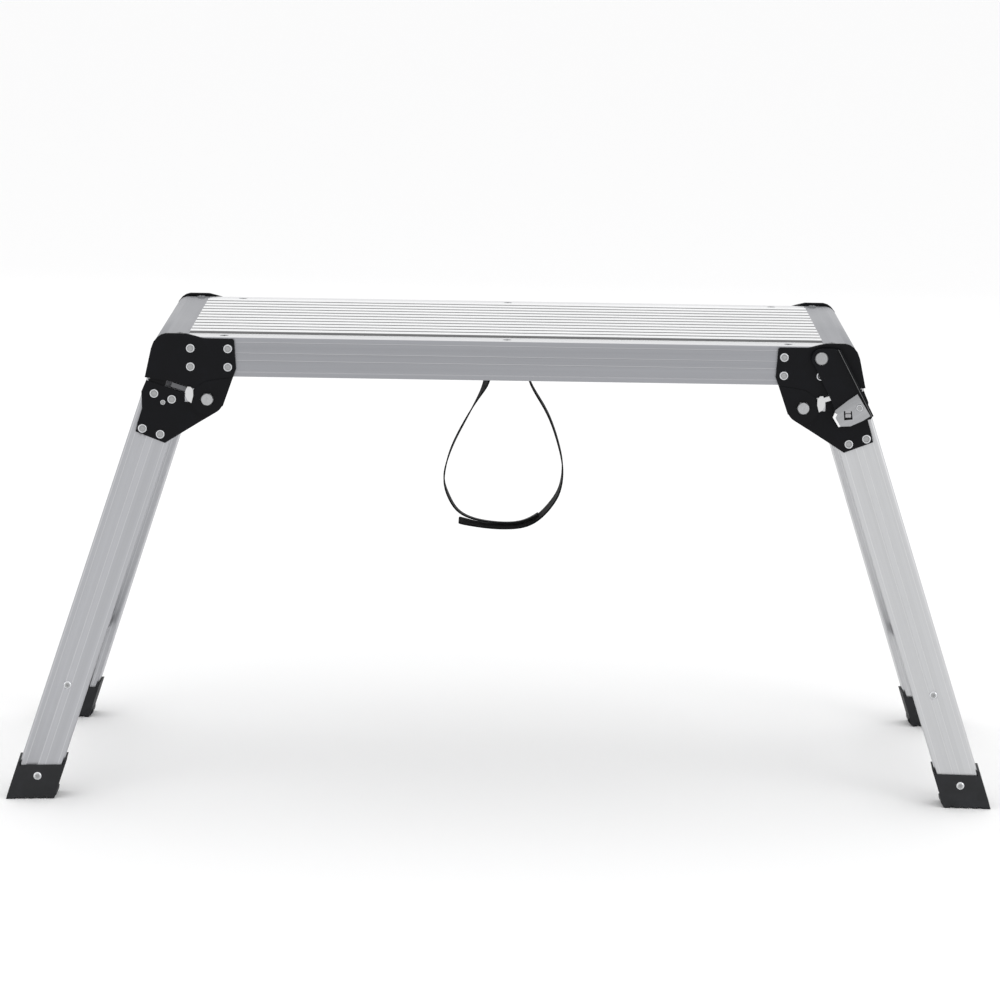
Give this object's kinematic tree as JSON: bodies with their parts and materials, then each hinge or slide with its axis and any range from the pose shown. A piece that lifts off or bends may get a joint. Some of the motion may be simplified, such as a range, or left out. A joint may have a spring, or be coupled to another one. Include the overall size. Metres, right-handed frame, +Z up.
{
  "type": "folding work platform bench",
  "caption": "Low aluminium work platform with a ribbed deck, splayed folding leg frames, black corner hinge plates, lock levers, rubber feet and a carrying strap.",
  "frame": {"origin": "on the floor, under the middle of the deck", "axes": "+X along the platform's length, +Y across it towards the rear, +Z up"},
  "size_m": [1.087, 0.3854, 0.5115],
  "materials": {
    "aluminium_rail": "extruded mill finish with faint lines",
    "aluminium_deck": "ribbed extrusion, light mill finish",
    "aluminium_frame": "mill finish",
    "aluminium_leg": "extruded mill finish with lengthwise grooves",
    "zinc_fastener": "bright zinc plate",
    "zinc_plate": "bright zinc plate",
    "spring_steel": "polished spring steel",
    "black_plate": "satin black powder coat on steel",
    "black_plastic": "moulded, satin",
    "rubber_foot": "moulded rubber",
    "webbing": "woven webbing"
  },
  "bodies": {
    "platform": {"front_side_rail": "aluminium_rail", "rear_side_rail": "aluminium_rail", "left_end_rail": "aluminium_rail", "right_end_rail": "aluminium_rail", "deck_plank_front": "aluminium_deck", "deck_plank_middle": "aluminium_deck", "deck_plank_rear": "aluminium_deck", "cross_support_left": "aluminium_frame", "cross_support_centre": "aluminium_frame", "cross_support_right": "aluminium_frame", "spacer_blocks": "aluminium_frame", "flange_screws": "zinc_fastener", "deck_rivets": "zinc_fastener", "end_rail_screws": "zinc_fastener", "hinge_plate_rivets": "zinc_fastener", "pivot_bolts": "zinc_fastener", "pivot_nuts": "zinc_fastener", "lever_pins": "zinc_fastener", "strap_anchor": "zinc_fastener", "hinge_plate_front_left": "black_plate", "hinge_plate_front_right": "black_plate", "hinge_plate_rear_left": "black_plate", "hinge_plate_rear_right": "black_plate", "stop_blocks": "black_plastic", "strap": "webbing"},
    "left_leg_frame": {"leg_front_left": "aluminium_leg", "leg_rear_left": "aluminium_leg", "leg_plate_front_left": "black_plate", "leg_plate_rear_left": "black_plate", "foot_front_left": "rubber_foot", "foot_rear_left": "rubber_foot", "upper_cross_bar_left": "aluminium_leg", "lower_cross_bar_left": "aluminium_leg", "leg_plate_rivets_left": "zinc_fastener", "leg_rivets_left": "zinc_fastener"},
    "left_lock": {"lock_lever_left": "black_plate", "lock_bar_left": "zinc_plate", "latch_pin_left": "zinc_fastener"},
    "left_latch": {"latch_left": "zinc_plate", "latch_spring_left": "spring_steel"},
    "right_leg_frame": {"leg_front_right": "aluminium_leg", "leg_rear_right": "aluminium_leg", "leg_plate_front_right": "black_plate", "leg_plate_rear_right": "black_plate", "foot_front_right": "rubber_foot", "foot_rear_right": "rubber_foot", "upper_cross_bar_right": "aluminium_leg", "lower_cross_bar_right": "aluminium_leg", "leg_plate_rivets_right": "zinc_fastener", "leg_rivets_right": "zinc_fastener"},
    "right_lock": {"lock_lever_right": "black_plate", "lock_bar_right": "zinc_plate", "latch_pin_right": "zinc_fastener"},
    "right_latch": {"latch_right": "zinc_plate", "latch_spring_right": "spring_steel"}
  },
  "joints": [
    {"name": "left_leg_fold", "type": "hinge", "parent": "platform", "child": "left_leg_frame", "pos_m": [-0.3234, 0, 0.4403], "axis": [0, -1, 0], "range_deg": [0, 115], "deforming": ["strap"]},
    {"name": "left_lock_swing", "type": "hinge", "parent": "platform", "child": "left_lock", "pos_m": [-0.3413, 0, 0.4957], "axis": [0, 1, 0], "range_deg": [0, 4.5]},
    {"name": "left_latch_turn", "type": "hinge", "parent": "left_lock", "child": "left_latch", "pos_m": [-0.3841, 0.159, 0.4427], "axis": [0, -1, 0], "range_deg": [0, 10], "stiffness_Nm_per_rad": 0.05, "springref_deg": -11.46},
    {"name": "right_leg_fold", "type": "hinge", "parent": "platform", "child": "right_leg_frame", "pos_m": [0.3234, 0, 0.4403], "axis": [0, 1, 0], "range_deg": [0, 103], "deforming": ["strap"]},
    {"name": "right_lock_swing", "type": "hinge", "parent": "platform", "child": "right_lock", "pos_m": [0.3413, 0, 0.4957], "axis": [0, -1, 0], "range_deg": [0, 4.5]},
    {"name": "right_latch_turn", "type": "hinge", "parent": "right_lock", "child": "right_latch", "pos_m": [0.3841, -0.159, 0.4427], "axis": [0, 1, 0], "range_deg": [0, 10], "stiffness_Nm_per_rad": 0.05, "springref_deg": -11.46}
  ]
}
